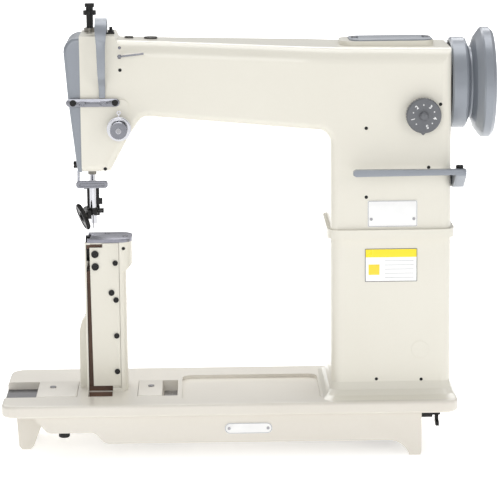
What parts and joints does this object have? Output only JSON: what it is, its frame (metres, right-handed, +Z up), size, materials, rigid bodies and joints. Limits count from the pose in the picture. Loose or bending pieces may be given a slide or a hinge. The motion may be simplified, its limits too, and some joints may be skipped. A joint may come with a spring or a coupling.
{
  "type": "post-bed leather sewing machine head",
  "caption": "Post-bed leather sewing machine head with roller presser, tall post, long flat bed, arm, column and grooved handwheel.",
  "frame": {"origin": "centre of the overall box, in the plane under the feet", "axes": "+X along the bed from needle to handwheel, +Y away from the operator, +Z up"},
  "size_m": [0.56, 0.178, 0.507],
  "materials": {
    "cream_paint": "glossy enamel over casting",
    "grey_paint": "satin hammered grey enamel",
    "dark_dial": "satin moulded",
    "black_oxide": "oiled black oxide",
    "chrome": "polished",
    "bright_steel": "ground",
    "bronze": "sintered",
    "cast_metal": "machined casting",
    "pulley_alloy": "machined",
    "belt_rubber": "matt",
    "white_plate": "lacquered white",
    "label_film": "printed film, blank"
  },
  "bodies": {
    "machine": {"arm_casting": "cream_paint", "bar_bushes": "bronze", "bed": "cream_paint", "bed_cover_left": "cream_paint", "bed_cover_right": "cream_paint", "black_screws": "black_oxide", "blank_label": "label_film", "blank_plates": "white_plate", "bobbin_case": "bright_steel", "column_riser": "cream_paint", "face_plate": "grey_paint", "feed_wheel_bracket": "bright_steel", "finger_guard": "chrome", "handwheel_dust_ring": "black_oxide", "hook_shaft_bushes": "bronze", "lower_shaft_hangers": "cast_metal", "main_shaft_bushes": "bronze", "oil_drain_plug": "grey_paint", "oil_fill_caps": "grey_paint", "post_casting": "cream_paint", "post_front_cover": "cream_paint", "presser_spring": "bright_steel", "steel_screws": "bright_steel", "take_up_guard": "grey_paint", "take_up_pivot_pin": "bright_steel", "tension_discs": "chrome", "tension_post": "chrome", "thread_guide_plate": "chrome", "throat_plate": "grey_paint", "timing_belt": "belt_rubber", "top_cover_plate": "grey_paint", "upper_thread_guide": "chrome"},
    "upper_drive": {"main_shaft": "bright_steel", "handwheel": "grey_paint", "handwheel_screw": "bright_steel", "upper_belt_pulley": "pulley_alloy", "crank_counterweight": "cast_metal"},
    "lower_drive": {"lower_shaft": "bright_steel", "lower_belt_pulley": "pulley_alloy", "lower_bevel_gear": "bright_steel"},
    "hook_drive": {"hook_shaft": "bright_steel", "hook_pinion": "bright_steel", "rotary_hook": "bright_steel"},
    "bobbin": {"bobbin": "bright_steel"},
    "feed": {"feed_wheel": "bright_steel"},
    "needle": {"needle_bar": "chrome", "needle": "bright_steel", "needle_clamp": "black_oxide"},
    "take_up": {"take_up_lever": "black_oxide"},
    "presser": {"presser_bar": "chrome", "roller_presser_arm": "black_oxide", "roller_axle": "black_oxide"},
    "roller": {"presser_roller": "black_oxide"},
    "lifter": {"presser_lifter_lever": "grey_paint"},
    "knee": {"knee_lift_lever": "black_oxide"},
    "regulator": {"pressure_screw": "black_oxide"},
    "dial": {"stitch_length_dial": "dark_dial"},
    "reverse": {"reverse_lever": "grey_paint"},
    "tension": {"tension_nut": "black_oxide"},
    "check": {"check_spring": "chrome"}
  },
  "joints": [
    {"name": "handwheel_turn", "type": "hinge", "parent": "machine", "child": "upper_drive", "pos_m": [0, 0, 0.4145], "axis": [1, 0, 0], "continuous": true},
    {"name": "lower_shaft_turn", "type": "hinge", "parent": "machine", "child": "lower_drive", "pos_m": [0, 0, 0.034], "axis": [1, 0, 0], "continuous": true},
    {"name": "hook_turn", "type": "hinge", "parent": "machine", "child": "hook_drive", "pos_m": [-0.156, 0, 0.1], "axis": [0, 0, 1], "continuous": true},
    {"name": "feed_wheel_turn", "type": "hinge", "parent": "machine", "child": "feed", "pos_m": [-0.182, 0, 0.2278], "axis": [1, 0, 0], "continuous": true},
    {"name": "bobbin_spin", "type": "hinge", "parent": "machine", "child": "bobbin", "pos_m": [-0.156, 0, 0.22], "axis": [0, 0, 1], "continuous": true},
    {"name": "needle_bar_slide", "type": "slide", "parent": "machine", "child": "needle", "axis": [0, 0, -1], "range_m": [-0.018, 0.017]},
    {"name": "take_up_swing", "type": "hinge", "parent": "machine", "child": "take_up", "pos_m": [-0.161, -0.008, 0.446], "axis": [1, 0, 0], "range_deg": [-21, 20]},
    {"name": "presser_bar_slide", "type": "slide", "parent": "machine", "child": "presser", "axis": [0, 0, -1], "range_m": [0, 0.007], "deforming": ["presser_spring"]},
    {"name": "presser_roller_spin", "type": "hinge", "parent": "presser", "child": "roller", "pos_m": [-0.186, -0.011, 0.2665], "axis": [-0.8953, -0.2601, -0.3616], "continuous": true},
    {"name": "hand_lifter", "type": "hinge", "parent": "machine", "child": "lifter", "pos_m": [-0.165, 0.041, 0.352], "axis": [0, 1, 0], "range_deg": [0, 35]},
    {"name": "knee_lever_swing", "type": "hinge", "parent": "machine", "child": "knee", "pos_m": [0.205, -0.06, 0.044], "axis": [1, 0, 0], "range_deg": [-12, 0]},
    {"name": "pressure_screw_turn", "type": "hinge", "parent": "machine", "child": "regulator", "pos_m": [-0.175, 0.017, 0.48], "axis": [0, 0, 1], "range_deg": [-360, 360]},
    {"name": "stitch_dial_turn", "type": "hinge", "parent": "machine", "child": "dial", "pos_m": [0.1975, -0.065, 0.3855], "axis": [0, -1, 0], "range_deg": [-110, 190]},
    {"name": "reverse_lever_press", "type": "hinge", "parent": "machine", "child": "reverse", "pos_m": [0.235, -0.03, 0.308], "axis": [1, 0, 0], "range_deg": [0, 18], "stiffness_Nm_per_rad": 2, "springref_deg": -20.05},
    {"name": "tension_nut_turn", "type": "hinge", "parent": "machine", "child": "tension", "pos_m": [-0.142, -0.06, 0.372], "axis": [0, -1, 0], "range_deg": [-360, 360]},
    {"name": "check_spring_swing", "type": "hinge", "parent": "machine", "child": "check", "pos_m": [-0.142, -0.045, 0.372], "axis": [0, -1, 0], "range_deg": [0, 45], "stiffness_Nm_per_rad": 0.01, "springref_deg": -17.19}
  ],
  "couplings": [
    {"joint": "lower_shaft_turn", "follows": "handwheel_turn", "ratio": 1},
    {"joint": "hook_turn", "follows": "handwheel_turn", "ratio": -2},
    {"joint": "feed_wheel_turn", "follows": "handwheel_turn", "ratio": -0.05},
    {"joint": "take_up_swing", "follows": "needle_bar_slide", "rad_per_m": 20},
    {"joint": "hand_lifter", "follows": "presser_bar_slide", "rad_per_m": 86},
    {"joint": "knee_lever_swing", "follows": "presser_bar_slide", "rad_per_m": -28}
  ]
}
